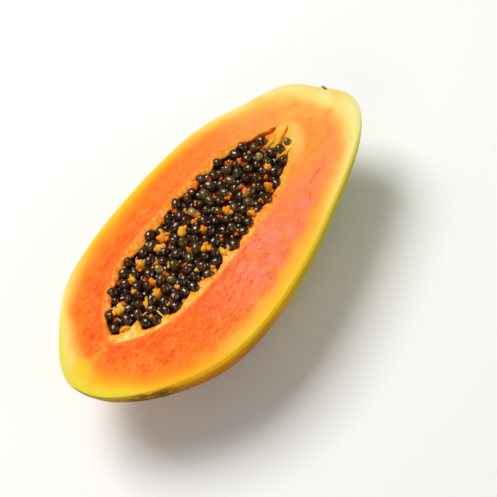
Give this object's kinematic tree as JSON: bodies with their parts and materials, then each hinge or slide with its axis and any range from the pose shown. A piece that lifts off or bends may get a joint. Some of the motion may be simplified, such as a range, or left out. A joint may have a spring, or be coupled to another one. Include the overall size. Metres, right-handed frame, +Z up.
{
  "type": "papaya half",
  "caption": "Ripe papaya cut lengthwise: yellow skin, orange flesh and an open cavity heaped with dark seeds, lying cut face up.",
  "frame": {"origin": "on the resting surface, below the middle of the cut face's box", "axes": "+X along the fruit to its stem end, +Y across the cut face, +Z up out of the cut face"},
  "size_m": [0.2074, 0.0999, 0.0559],
  "materials": {
    "fruit": "satin",
    "placenta": "satin",
    "seeds": "gloss"
  },
  "bodies": {
    "root": {"fruit_half": "fruit", "placenta": "placenta", "seed_mass": "seeds"}
  },
  "joints": []
}
